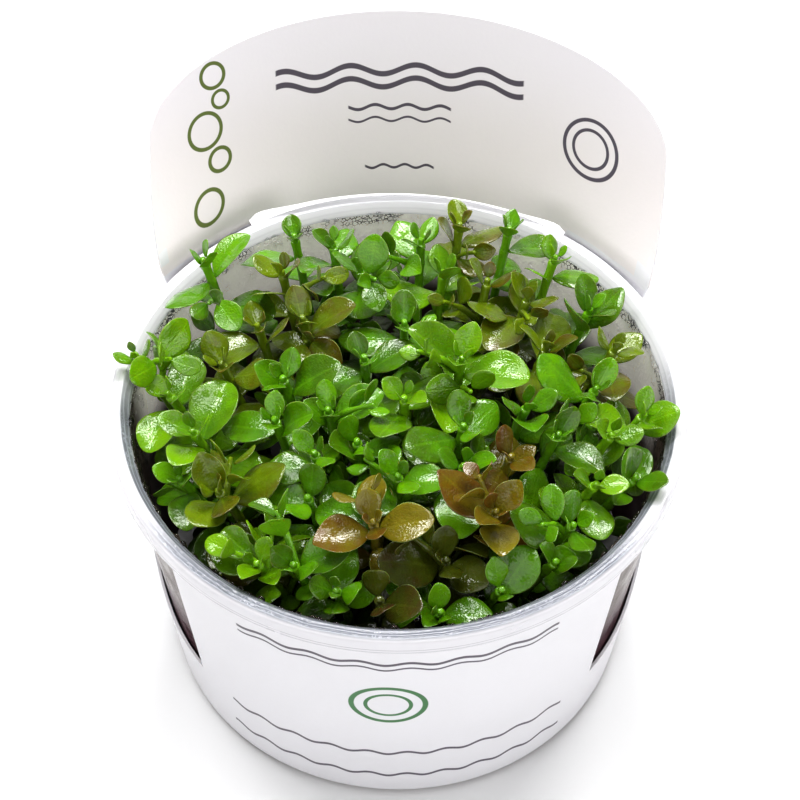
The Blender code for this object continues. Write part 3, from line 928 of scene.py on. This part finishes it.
# Colours of a leaf in shade, in the open and at its brightest, its blush, and how far that goes.
LEAF_COLOURS = {
    "green": (
        (0.054, 0.158, 0.001), (0.097, 0.270, 0.001), (0.140, 0.340, 0.001),
        (0.13, 0.15, 0.003), 0.20,
    ),
    "lime": (
        (0.078, 0.205, 0.001), (0.132, 0.316, 0.001), (0.190, 0.385, 0.001),
        (0.19, 0.24, 0.003), 0.15,
    ),
    "olive": (
        (0.060, 0.098, 0.001), (0.120, 0.188, 0.002), (0.175, 0.250, 0.003),
        (0.150, 0.085, 0.008), 0.60,
    ),
    "bronze": (
        (0.075, 0.056, 0.002), (0.150, 0.120, 0.003), (0.200, 0.170, 0.005),
        (0.185, 0.072, 0.006), 0.60,
    ),
    "plum": (
        (0.028, 0.030, 0.003), (0.052, 0.066, 0.003), (0.080, 0.100, 0.004),
        (0.075, 0.028, 0.010), 0.75,
    ),
}
# The pale green of a leaf's edge is a painted highlight, where light shines through the thin
# margin.
LIT_EDGE_GREEN = (0.34, 0.46, 0.12)
# Painted shade: leaves turn towards a near-black green lower in the cup, over these heights and
# this strength.
DEPTH_SHADE_GREEN = (0.003, 0.012, 0.004)
DEPTH_SHADE_FALL = (0.0555, 0.034)
DEPTH_SHADE_STRENGTH = 0.92
LIT_EDGE_STRENGTH = 0.85
UNDERSIDE_STRENGTH = 0.45
VEIN_STRENGTH = 0.16
RUNG_STRENGTH = 0.20
RUNGS = 6.0
RUNG_ARCH = -1.5


def make_leaf_material(name, shade, open_light, bright, blush, blush_reach):
    """A wet, thick leaf: patchy green with a pale midrib and arching veins, a pale margin that is a
    painted highlight, and painted shade that darkens it deep in the cup.
    """
    paint = Paint(
        name + " leaf",
        Coat_Roughness=0.02,
        Coat_IOR=1.62,
        IOR=1.42,
        Specular_IOR_Level=0.15,
        Subsurface_Weight=0.06,
        Subsurface_Scale=0.0012,
    )
    share, across, side = paint.parts(paint.attribute("blade", "Vector"))
    edge = abs(across)
    patches = paint.grain(320.0, 4.0)
    level = paint.attribute("tone", "Fac") * 0.7 + patches
    ground = level.between(0.45, 0.85).mix(shade, open_light)
    ground = level.between(0.85, 1.25).mix(ground, bright)
    reddened = level.between(1.05, 0.55) * blush_reach * edge.most(share).between(0.1, 0.9)
    ground = reddened.mix(ground, blush)

    ladder = (share * RUNGS + edge * RUNG_ARCH).calculate("FRACT")
    rung = abs(ladder - 0.5).between(0.10, 0.02)
    vein = (rung * RUNG_STRENGTH).most(edge.between(0.10, 0.03))
    pale = tuple(min(1.0, part * 1.5 + 0.01) for part in bright)
    ground = (vein * VEIN_STRENGTH).mix(ground, pale)
    # Painted highlight along the leaf's edge.
    ground = (edge.between(0.92, 0.99) * LIT_EDGE_STRENGTH).mix(ground, LIT_EDGE_GREEN)
    ground = (side.between(0.0, -0.4) * UNDERSIDE_STRENGTH).mix(ground, pale)
    ground = share.between(-0.2, -0.6).mix(ground, patches.mix(open_light, pale))
    # Painted shade deep in the cup.
    ground = (paint.z.between(*DEPTH_SHADE_FALL) * DEPTH_SHADE_STRENGTH).mix(ground, DEPTH_SHADE_GREEN)

    cells = paint.grain(2600.0)
    swell = cells * 1.2 + paint.grain(380.0) - vein * 0.3
    film = paint.grain(420.0, 3.0) + cells * 0.3
    return paint.put(
        Base_Color=ground,
        Roughness=patches.scaled(0.25, 0.45),
        Normal=paint.bump(swell, 0.45, 0.0003),
        Coat_Normal=paint.bump(swell, 0.20, 0.0003),
        Coat_Weight=film.between(0.53, 0.60),
    )


shoots = [
    Shoot(
        Vector((x, y, CUP_HEIGHT + rise)),
        Vector((x * FOOT_SPREAD, y * FOOT_SPREAD, GEL_TOP + GEL_GAP)),
        math.radians(turn),
        leaf_length,
        PAIRS + LOWER_PAIRS,
    )
    for x, y, rise, turn, leaf_length, _ in SHOOTS
]
grow_leaves(shoots)
leaf_materials = {
    name: make_leaf_material(name, *values) for name, values in LEAF_COLOURS.items()
}
form_chance = random.Random(SEED + 1)
for number, (shoot, values) in enumerate(zip(shoots, SHOOTS), start=1):
    colour = values[-1]
    plantlet = make_plantlet(f"bacopa_{number:02d}", shoot, form_chance, leaf_materials[colour])
    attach(plantlet, "root")
    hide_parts(f"shoot_{number:02d}")


# Condensation: clear water droplets that have settled on the inside of the wall above the leaves,
# thickest under the rim, where the cup was closed until it was opened.
DROPLETS = 1500
DROPLET_RADII = (0.00020, 0.00085)
DROPLET_HEIGHTS = (0.0420, 0.0584)
DROPLET_FLATNESS = 0.65
DROPLET_LENGTHS = (0.9, 1.25)
DROPLET_SINK = 0.1
DROPLET_GATHERING = 3.0
DROPLET_FINENESS = 2.5
DROPLET_SEED = 11
CLEAR_WATER = ((1, 1, 1), (0.95, 0.97, 0.98))


def inner_wall(z):
    """The wall's inner radius between the fog's foot and the mouth."""
    (high_radius, high), (low_radius, low) = CUP_PROFILE[10:12]
    share = (z - low) / (high - low)
    return low_radius + (high_radius - low_radius) * share


def make_condensation():
    chance = random.Random(DROPLET_SEED)
    one = bmesh.new()
    bmesh.ops.create_uvsphere(one, u_segments=8, v_segments=5, radius=1.0)
    droplet = bpy.data.meshes.new("droplet")
    one.to_mesh(droplet)
    one.free()
    bm = bmesh.new()
    low, high = DROPLET_HEIGHTS
    small, large = DROPLET_RADII
    for _ in range(DROPLETS):
        turn = chance.uniform(0, math.tau)
        z = high - (high - low) * chance.random() ** DROPLET_GATHERING
        radius = small + (large - small) * chance.random() ** DROPLET_FINENESS
        upright = radius * chance.uniform(*DROPLET_LENGTHS)
        place = Matrix.Translation((inner_wall(z) - DROPLET_SINK * radius, 0, z))
        form = Matrix.Diagonal((radius * DROPLET_FLATNESS, radius, upright, 1))
        copy = droplet.copy()
        copy.transform(Matrix.Rotation(turn, 4, "Z") @ place @ form)
        bm.from_mesh(copy)
        bpy.data.meshes.remove(copy)
    bpy.data.meshes.remove(droplet)
    smooth_faces(bm, SMOOTH)
    paint = Paint("water", Transmission_Weight=1.0, IOR=1.33, Roughness=0.0)
    # Painted shade: the drops darken where they are seen edge-on, as their rims bend the light
    # away.
    outline = paint.add("LayerWeight", Blend=0.35, output="Facing").between(0.45, 0.90)
    water = paint.put(Base_Color=outline.mix(paint.grain(300.0).mix(*CLEAR_WATER), DROP_RIM_SHADE))
    return finish_mesh("condensation", bm, water)


condensation = make_condensation()
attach(condensation, "root")


# Sleeve: one sheet of white printed card wrapped round the cup and glued at the back. Two slits
# open beside its front, and two straps outside the rim carry the round-topped header.

# The card, the straps, the header, its slot, the slits, and the columns and rows of its mesh.
CARD = 0.0005
CARD_GAP = 0.0004
SLEEVE_BOTTOM = 0.0010
SLEEVE_TOP = CUP_HEIGHT - SKIRT_DROP - 0.0006
STRAP_START = 0.0460
STRAP_RADIUS = 0.0509
HEADER_TURN = math.radians(-2.0)
HEADER_BACK = 0.0484
HEADER_LEAN = math.tan(math.radians(22.3))
HEADER_CURVE = 0.0535
HEADER_UNCURL = 1.95
HEADER_HALF_FOOT = 0.0510
HEADER_HALF_WIDTH = 0.0487
HEADER_SHOULDER = 0.0174
HEADER_HEIGHT = 0.0337
HEADER_SKEW = -0.013
HEADER_COLUMNS = 120
HEADER_SPACING = 0.958
SLOT_TOP = 0.0012
SLOT_HALF_COLUMNS = 25
SLOT_CORNER = 0.0011
SLOT_CORNER_COLUMNS = 2
STRAP_EASE = 8
SLIT_FOOT = 0.0178
SLIT_TURNS = (math.radians(-130.3), math.radians(127.1))
SLIT_OPENING = math.radians(52.0)
SLIT_BEND = 3.0
SIDE_COLUMNS = 6
SLIT_COLUMNS = 16
FRONT_COLUMNS = 48
FOOT_ROWS = 5
WALL_ROWS = 12
STRAP_ROWS = 3
HEADER_ROWS = 12
PUSH_ROWS = 3
FOLD_CREASE = math.radians(40)
HEADER_FACING = 0.5
FRONT_FACING = 0.8

# The card's stock and inks, each as red, green and blue.
CARD_WHITES = (0.79, 0.85)
WARM_CAST = (1.0, 0.935, 0.940)
COOL_CAST = (0.960, 0.950, 0.990)
COOL_WHITE = (0.85, 0.82, 0.87)
COOL_RISE = (0.010, 0.030)
COOL_STRENGTH = 0.7
FIBRE_GREY = (0.74, 0.73, 0.72)
FIBRE_STRENGTH = 0.25
INK = (0.10, 0.085, 0.11)
GREEN_INK = (0.05, 0.19, 0.06)
OLIVE_INK = (0.13, 0.17, 0.04)
FRONT_RADIUS_HEIGHT = 0.03


class Wave(NamedTuple):
    """A printed wavy line: its height, swing, length, half thickness and reach to both sides."""

    middle: float
    swing: float
    length: float
    thickness: float
    reach: float


class Ring(NamedTuple):
    """A printed ring: its middle, radius and half thickness."""

    x: float
    z: float
    radius: float
    thickness: float


# Prints: on the header's front from the rim up, and on the wrap's front from the table up.
HEADER_WAVES = (
    Wave(0.0238, 0.0008, 0.0120, 0.00055, 0.0225),
    Wave(0.0215, 0.0008, 0.0120, 0.00055, 0.0225),
    Wave(0.0172, 0.0004, 0.0060, 0.00032, 0.0095),
    Wave(0.0150, 0.0004, 0.0060, 0.00022, 0.0095),
    Wave(0.0065, 0.0003, 0.0040, 0.00026, 0.0065),
)
HEADER_BUBBLES = (
    Ring(-0.0345, 0.0060, 0.0024, 0.00035),
    Ring(-0.0325, 0.0125, 0.0018, 0.00035),
    Ring(-0.0350, 0.0175, 0.0028, 0.00035),
    Ring(-0.0322, 0.0220, 0.0014, 0.00030),
    Ring(-0.0335, 0.0260, 0.0020, 0.00035),
)
HEADER_RINGS = (Ring(0.0345, 0.0150, 0.0046, 0.00035), Ring(0.0345, 0.0150, 0.0030, 0.00030))
FRONT_WAVES = (
    Wave(0.0505, 0.0005, 0.0080, 0.00045, 0.0270),
    Wave(0.0487, 0.0005, 0.0080, 0.00030, 0.0270),
    Wave(0.0165, 0.0005, 0.0070, 0.00045, 0.0330),
    Wave(0.0075, 0.0005, 0.0070, 0.00045, 0.0340),
)
FRONT_RINGS = (Ring(-0.0015, 0.0355, 0.0062, 0.00055), Ring(-0.0015, 0.0355, 0.0038, 0.00040))
WAVE_END = 0.0003


def ease(share):
    share = min(max(share, 0.0), 1.0)
    return share * share * (3 - 2 * share)


def header_point(along, height):
    """A point of the header's front: along the card, and above the rim."""
    curve = HEADER_CURVE + HEADER_UNCURL * height
    back = HEADER_BACK + HEADER_LEAN * height
    turn = along / curve
    x = curve * math.sin(turn)
    y = back - curve + curve * math.cos(turn)
    return Vector((x, y, CUP_HEIGHT + height + HEADER_SKEW * along))


def header_half_width(height):
    share = min(height / HEADER_SHOULDER, 1.0)
    return HEADER_HALF_FOOT + (HEADER_HALF_WIDTH - HEADER_HALF_FOOT) * share


def header_top(share):
    """Height of the arch over the card at a share of its half width."""
    return HEADER_SHOULDER + (HEADER_HEIGHT - HEADER_SHOULDER) * math.sqrt(max(0.0, 1 - share**2))


def card_radius(z):
    return outer_wall(z) + CARD_GAP + CARD


def spread(first, last, count):
    """Values from just after the first to the last in even steps."""
    return [first + (last - first) * i / count for i in range(1, count + 1)]


def wrap_columns(header_turns):
    """Each upright line of the wrap: its turn from the header, and its share above a slit."""
    left_slit, right_slit = SLIT_TURNS
    left_top, right_top = left_slit + SLIT_OPENING, right_slit - SLIT_OPENING
    falling = [share**SLIT_BEND for share in spread(1.0, 0.0, SLIT_COLUMNS)]
    rising = [share**SLIT_BEND for share in spread(0.0, 1.0, SLIT_COLUMNS)]
    columns = [(turn, 1.0) for turn in header_turns]
    columns += [(turn, 1.0) for turn in spread(header_turns[-1], right_top, SIDE_COLUMNS)]
    columns += list(zip(spread(right_top, right_slit, SLIT_COLUMNS), falling))
    columns.append((right_slit, 1.0))
    columns += [(turn, 1.0) for turn in spread(right_slit, math.tau + left_slit, FRONT_COLUMNS)]
    columns.append((left_slit, 0.0))
    columns += list(zip(spread(left_slit, left_top, SLIT_COLUMNS), rising))
    columns += [(turn, 1.0) for turn in spread(left_top, header_turns[0], SIDE_COLUMNS)]
    return columns


def bend_card():
    """The sheet of card as a mesh: a grid with its slits and slot cut out, bent and thickened."""
    halves = [i / HEADER_COLUMNS - 0.5 for i in range(HEADER_COLUMNS + 1)]
    turns = [HEADER_SPACING * math.pi * half for half in halves]
    shares = [math.sin(turn) / math.sin(turns[-1]) for turn in turns]
    columns = wrap_columns([share * HEADER_HALF_FOOT / STRAP_RADIUS for share in shares])
    levels = [SLEEVE_BOTTOM] + spread(SLEEVE_BOTTOM, SLIT_FOOT, FOOT_ROWS)
    levels += spread(SLIT_FOOT, SLEEVE_TOP, WALL_ROWS)
    strap_row = len(levels) - 1
    header_row = strap_row + STRAP_ROWS
    right_slit = HEADER_COLUMNS + SIDE_COLUMNS + SLIT_COLUMNS
    slits = (right_slit, right_slit + FRONT_COLUMNS + 1)

    def strap_share(column):
        """1 on the straps, and falling to 0 across the card behind the slot."""
        from_slot = abs(column - HEADER_COLUMNS // 2) - SLOT_HALF_COLUMNS
        return ease(1 + from_slot / STRAP_EASE) if column <= HEADER_COLUMNS else 0.0

    def wrap_point(column, level):
        turn, share = columns[column]
        z = SLIT_FOOT + (level - SLIT_FOOT) * share if level > SLIT_FOOT else level
        lift = ease((z - STRAP_START) / (SLEEVE_TOP - STRAP_START)) * strap_share(column)
        radius = card_radius(z) + (STRAP_RADIUS - card_radius(SLEEVE_TOP)) * lift
        return Vector((radius * math.sin(turn), radius * math.cos(turn), z))

    def header_place(column, row):
        share = shares[column]
        level = row / HEADER_ROWS
        height = SLOT_TOP + (header_top(share) - SLOT_TOP) * level
        from_end = SLOT_HALF_COLUMNS - abs(column - HEADER_COLUMNS // 2)
        if row == 0 and 0 <= from_end < SLOT_CORNER_COLUMNS:
            turned = 1 - from_end / SLOT_CORNER_COLUMNS
            height -= SLOT_CORNER * (1 - math.sqrt(1 - turned**2))
        point = header_point(share * header_half_width(height), height)
        push = max(0.0, STRAP_RADIUS - point.xy.length) * strap_share(column)
        point.xy += point.xy.normalized() * push * max(0.0, 1 - row / PUSH_ROWS)
        return point

    bm = bmesh.new()
    rows = header_row + HEADER_ROWS
    last = len(columns) - 1
    bmesh.ops.create_grid(bm, x_segments=last, y_segments=rows, size=1.0)

    def cell(x, y):
        return round((x + 1) / 2 * last, 3), round((y + 1) / 2 * rows, 3)

    waste = []
    for face in bm.faces:
        centre = face.calc_center_median()
        column, row = (math.floor(part) for part in cell(centre.x, centre.y))
        off_header = column >= HEADER_COLUMNS
        in_slot = abs(column + 0.5 - HEADER_COLUMNS / 2) < SLOT_HALF_COLUMNS and row < header_row
        if column in slits or (row >= strap_row and (off_header or in_slot)):
            waste.append(face)
    bmesh.ops.delete(bm, geom=waste, context="FACES")
    for vert in bm.verts:
        column, row = (round(part) for part in cell(vert.co.x, vert.co.y))
        if row <= strap_row:
            vert.co = wrap_point(column, levels[row])
        elif row >= header_row:
            vert.co = header_place(column, row - header_row)
        else:
            share = (row - strap_row) / STRAP_ROWS
            vert.co = wrap_point(column, SLEEVE_TOP).lerp(header_place(column, 0), share)
    bmesh.ops.remove_doubles(bm, verts=bm.verts[:], dist=MERGE_DISTANCE)
    header_turn = Matrix.Rotation(HEADER_TURN, 3, "Z")
    bmesh.ops.rotate(bm, verts=bm.verts[:], cent=(0, 0, 0), matrix=header_turn)
    bmesh.ops.recalc_face_normals(bm, faces=bm.faces[:])
    lowest = min(bm.faces, key=lambda face: face.calc_center_median().z)
    if lowest.normal.dot(lowest.calc_center_median() * Vector((1, 1, 0))) < 0:
        bmesh.ops.reverse_faces(bm, faces=bm.faces[:])
    bmesh.ops.solidify(bm, geom=bm.faces[:], thickness=CARD)
    bmesh.ops.recalc_face_normals(bm, faces=bm.faces[:])
    for face in bm.faces:
        centre = face.calc_center_median()
        outward = face.normal.xy.dot(centre.xy.normalized())
        if centre.z > CUP_HEIGHT and face.normal.y < -HEADER_FACING:
            face.material_index = 1
        elif centre.z < SLEEVE_TOP and centre.y < 0 and outward > FRONT_FACING:
            face.material_index = 2
    smooth_faces(bm, FOLD_CREASE)
    return bm


def start_card(name, cast):
    """White card with a satin print coat, faint fibres and a few handling marks."""
    paint = Paint(name, IOR=1.45, Sheen_Weight=0.03)
    fibres = paint.grain(1400.0, 5.0)
    cloud = paint.grain(60.0, 3.0)
    dim, bright = (tuple(white * part for part in cast) for white in CARD_WHITES)
    tint = (fibres * FIBRE_STRENGTH).mix(cloud.mix(dim, bright), FIBRE_GREY)
    paint.put(Roughness=cloud.scaled(0.34, 0.48), Normal=paint.bump(fibres, 0.10, 0.0002))
    return paint, tint


def print_waves(tint, along, height, waves, ink):
    """Prints wavy lines over a tint, each within its reach on both sides of the middle."""
    for wave in waves:
        swell = (along * (math.tau / wave.length)).calculate("SINE")
        off = abs(height - (swell * wave.swing + wave.middle))
        line = off.between(wave.thickness, wave.thickness * 0.75)
        end = abs(along).between(wave.reach, wave.reach - WAVE_END)
        tint = (line * end).mix(tint, ink)
    return tint


def print_rings(tint, along, height, rings, ink):
    """Prints rings over a tint."""
    for ring in rings:
        right, up = (abs(off).calculate("POWER", 2.0) for off in (along - ring.x, height - ring.z))
        off = abs((right + up).calculate("SQRT") - ring.radius)
        tint = off.between(ring.thickness, ring.thickness * 0.7).mix(tint, ink)
    return tint


def make_header_card():
    """The header's front: waves across its middle, bubbles at its left and rings at its right."""
    paint, tint = start_card("header card", WARM_CAST)
    height = paint.z - CUP_HEIGHT
    tint = (height.between(*COOL_RISE) * COOL_STRENGTH).mix(tint, COOL_WHITE)
    tint = print_waves(tint, paint.x, height, HEADER_WAVES, INK)
    tint = print_rings(tint, paint.x, height, HEADER_BUBBLES, OLIVE_INK)
    tint = print_rings(tint, paint.x, height, HEADER_RINGS, INK)
    return paint.put(Base_Color=tint)


def make_front_card():
    """The wrap's front: waves under the rim, a green ring, and two rows of small waves."""
    paint, tint = start_card("front card", COOL_CAST)
    turn = paint.x.calculate("ARCTAN2", paint.y * -1.0)
    along = turn * card_radius(FRONT_RADIUS_HEIGHT)
    tint = print_waves(tint, along, paint.z, FRONT_WAVES, INK)
    tint = print_rings(tint, along, paint.z, FRONT_RINGS, GREEN_INK)
    return paint.put(Base_Color=tint)


def make_sleeve():
    paint, tint = start_card("plain card", COOL_CAST)
    plain_card = paint.put(Base_Color=tint)
    return finish_mesh(
        "card_sleeve", bend_card(), plain_card, make_header_card(), make_front_card()
    )


card_sleeve = make_sleeve()
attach(card_sleeve, "root")
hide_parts("sleeve")


# Studio: a plain pale table top, where the cup stands loose. Small softboxes behind and above
# make the wet leaves glint, and wide weak ones in front, beside and behind fill the shade.
FLOOR_SIZE = 3.0
FLOOR_GREYS = ((0.93, 0.93, 0.93), (0.96, 0.96, 0.96))
WORLD_LIGHT = 0.14
AIM = Vector((0, 0, 0.05))

# Each softbox: its place, width and power.
SOFTBOXES = {
    "softbox_back": ((0.0, 0.34, 0.7), 0.22, 3.0),
    "softbox_left": ((-0.3, 0.18, 0.72), 0.20, 2.3),
    "softbox_right": ((0.26, 0.3, 0.7), 0.20, 2.2),
    "softbox_top": ((0.0, -0.05, 1.0), 0.40, 2.7),
    "fill_front": ((0.0, -0.85, 0.62), 1.20, 5.3),
    "fill_right": ((0.95, -0.4, 0.1), 0.70, 3.6),
    "fill_left": ((-0.9, -0.45, 0.14), 0.70, 1.6),
    "fill_back": ((0.0, 0.9, 0.5), 1.00, 0.4),
}


def make_floor():
    bm = bmesh.new()
    bmesh.ops.create_grid(bm, x_segments=4, y_segments=4, size=FLOOR_SIZE)
    paint = Paint("table top", Roughness=0.6)
    table_top = paint.put(Base_Color=paint.grain(6.0, 3.0).mix(*FLOOR_GREYS))
    return finish_mesh("floor", bm, table_top)


def add_softbox(name, place, width, power):
    light = bpy.data.lights.new(name, "AREA")
    light.energy = power
    light.size = width
    softbox = bpy.data.objects.new(name, light)
    softbox.location = place
    softbox.rotation_euler = (AIM - Vector(place)).to_track_quat("-Z", "Y").to_euler()
    scene.collection.objects.link(softbox)


make_floor()
for name, values in SOFTBOXES.items():
    add_softbox(name, *values)
world = bpy.data.worlds.new("studio")
world.use_nodes = True
world.node_tree.nodes["Background"].inputs["Strength"].default_value = WORLD_LIGHT
world.node_tree.nodes["Background"].inputs["Color"].default_value = (1, 1, 1, 1)
scene.world = world
